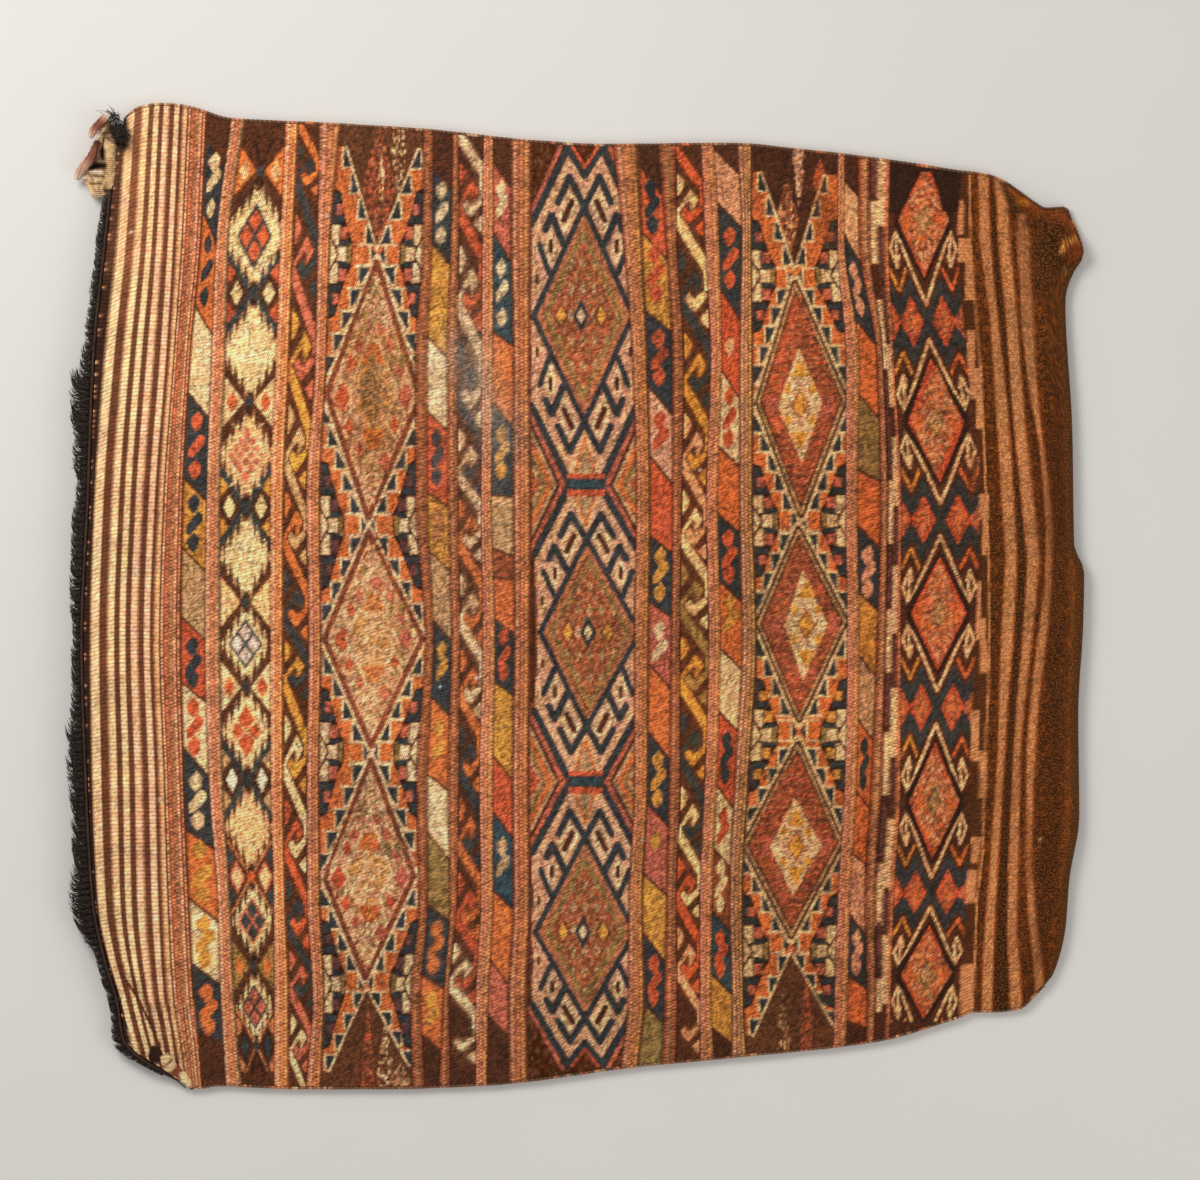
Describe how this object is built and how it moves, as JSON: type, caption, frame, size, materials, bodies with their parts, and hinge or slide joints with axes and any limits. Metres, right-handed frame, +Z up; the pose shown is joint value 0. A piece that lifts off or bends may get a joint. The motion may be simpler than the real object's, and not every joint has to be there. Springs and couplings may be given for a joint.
{
  "type": "woven storage sack",
  "caption": "slack flat-woven wool storage sack with coloured pattern bands, a haired mouth and a cream corner flap, lying on its back",
  "frame": {"origin": "on the floor, under the middle of the sack's outline", "axes": "+X from the mouth to the bottom fold, +Y along the mouth from the rounded corner to the corner with the flap, +Z up from the floor through the patterned front"},
  "size_m": [1.0278, 0.9912, 0.0488],
  "materials": {
    "web": "hand-woven wool, rust, brown, navy and cream bands, matt",
    "seam": "overcast wool yarn, matt",
    "binding": "dark goat hair and wool, wrapped",
    "fringe": "dark goat hair, glossy",
    "flap": "undyed cream wool, worn and torn"
  },
  "bodies": {
    "root": {"woven_web": "web", "side_seam_far": "seam", "side_seam_near": "seam", "mouth_binding_front": "binding", "mouth_binding_back": "binding", "mouth_fringe_front": "fringe", "mouth_fringe_back": "fringe", "corner_flap": "flap", "tie_end_upper": "flap", "tie_end_lower": "flap"}
  },
  "joints": []
}
